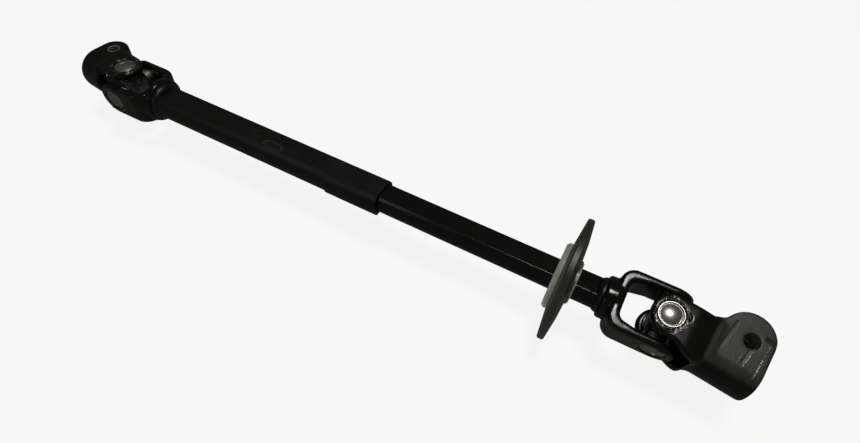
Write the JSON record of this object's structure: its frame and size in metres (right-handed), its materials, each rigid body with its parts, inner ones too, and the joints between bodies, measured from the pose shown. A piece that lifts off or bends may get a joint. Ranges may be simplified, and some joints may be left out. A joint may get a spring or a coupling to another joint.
{
  "type": "universal joint shaft",
  "caption": "Telescoping double-D steering shaft with a needle-bearing universal joint and a clamp yoke at each end and a round bulkhead seal disc.",
  "frame": {"origin": "middle of the lower clamp bore, on its axis", "axes": "+X along the shaft towards the lower (steering gear) end, +Z square to the flats of the double-D shaft"},
  "size_m": [0.4921, 0.0764, 0.0764],
  "materials": {
    "black_paint": "glossy black paint over forged steel",
    "bearing_steel": "bright drawn steel",
    "cross_steel": "ground and oiled steel",
    "white_nylon": "off-white moulded nylon",
    "seal_rubber": "black seal rubber",
    "disc_steel": "satin dark coated steel",
    "weld_paint": "painted weld",
    "ring_steel": "blued spring steel"
  },
  "bodies": {
    "tube": {"outer_tube": "black_paint", "slip_liner": "white_nylon", "upper_shaft_yoke": "black_paint", "upper_weld_bead": "weld_paint", "upper_shaft_cup_near": "bearing_steel", "upper_shaft_cup_far": "bearing_steel", "upper_shaft_trunnion_seals": "seal_rubber", "upper_shaft_thrust_pads": "white_nylon"},
    "bar": {"inner_shaft": "black_paint", "lower_shaft_yoke": "black_paint", "lower_weld_bead": "weld_paint", "lower_shaft_cup_near": "bearing_steel", "lower_shaft_cup_far": "bearing_steel", "lower_shaft_trunnion_seals": "seal_rubber", "lower_shaft_thrust_pads": "white_nylon"},
    "upper_spider": {"upper_cross": "cross_steel"},
    "lower_spider": {"lower_cross": "cross_steel"},
    "upper_clamp": {"upper_end_yoke": "black_paint", "upper_end_cup_near": "bearing_steel", "upper_end_cup_far": "bearing_steel", "upper_end_trunnion_seals": "seal_rubber", "upper_end_thrust_pads": "white_nylon"},
    "lower_clamp": {"lower_end_yoke": "black_paint", "lower_end_cup_near": "bearing_steel", "lower_end_cup_far": "bearing_steel", "lower_end_trunnion_seals": "seal_rubber", "lower_end_thrust_pads": "white_nylon"},
    "bushing": {"seal_bushing": "white_nylon", "seal_retaining_ring": "ring_steel"},
    "disc": {"seal_disc": "disc_steel"},
    "upper_shaft_rollers": {"upper_shaft_needles": "bearing_steel"},
    "upper_end_rollers": {"upper_end_needles": "bearing_steel"},
    "lower_shaft_rollers": {"lower_shaft_needles": "bearing_steel"},
    "lower_end_rollers": {"lower_end_needles": "bearing_steel"}
  },
  "joints": [
    {"name": "telescope", "type": "slide", "parent": "tube", "child": "bar", "axis": [1, 0, 0], "range_m": [-0.06, 0.03]},
    {"name": "upper_shaft_pivot", "type": "hinge", "parent": "tube", "child": "upper_spider", "pos_m": [-0.43378, 0.00419, 0.00131], "axis": [0, 1, 0], "range_deg": [-28, 28]},
    {"name": "upper_end_pivot", "type": "hinge", "parent": "upper_spider", "child": "upper_clamp", "pos_m": [-0.43378, 0.00419, 0.00131], "axis": [0, 0, 1], "range_deg": [-21, 35]},
    {"name": "lower_shaft_pivot", "type": "hinge", "parent": "bar", "child": "lower_spider", "pos_m": [-0.03578, 0.00419, 0.00131], "axis": [0, 0.9548, 0.2974], "range_deg": [-28, 28]},
    {"name": "lower_end_pivot", "type": "hinge", "parent": "lower_spider", "child": "lower_clamp", "pos_m": [-0.03578, 0.00419, 0.00131], "axis": [0, -0.2974, 0.9548], "range_deg": [-21, 35]},
    {"name": "bushing_slide", "type": "slide", "parent": "bar", "child": "bushing", "axis": [1, 0, 0], "range_m": [-0.045, 0.008]},
    {"name": "disc_turn", "type": "hinge", "parent": "bushing", "child": "disc", "pos_m": [-0.09278, 0.00419, 0.00131], "axis": [1, 0, 0], "continuous": true},
    {"name": "upper_shaft_rollers_turn", "type": "hinge", "parent": "tube", "child": "upper_shaft_rollers", "pos_m": [-0.43378, 0.00419, 0.00131], "axis": [0, 1, 0], "range_deg": [-14, 14]},
    {"name": "upper_end_rollers_turn", "type": "hinge", "parent": "upper_spider", "child": "upper_end_rollers", "pos_m": [-0.43378, 0.00419, 0.00131], "axis": [0, 0, 1], "range_deg": [-14, 22]},
    {"name": "lower_shaft_rollers_turn", "type": "hinge", "parent": "bar", "child": "lower_shaft_rollers", "pos_m": [-0.03578, 0.00419, 0.00131], "axis": [0, 0.9548, 0.2974], "range_deg": [-14, 14]},
    {"name": "lower_end_rollers_turn", "type": "hinge", "parent": "lower_spider", "child": "lower_end_rollers", "pos_m": [-0.03578, 0.00419, 0.00131], "axis": [0, -0.2974, 0.9548], "range_deg": [-14, 22]}
  ],
  "couplings": [
    {"joint": "upper_shaft_rollers_turn", "follows": "upper_shaft_pivot", "ratio": 0.40826},
    {"joint": "upper_end_rollers_turn", "follows": "upper_end_pivot", "ratio": 0.59174},
    {"joint": "lower_shaft_rollers_turn", "follows": "lower_shaft_pivot", "ratio": 0.40826},
    {"joint": "lower_end_rollers_turn", "follows": "lower_end_pivot", "ratio": 0.59174}
  ]
}
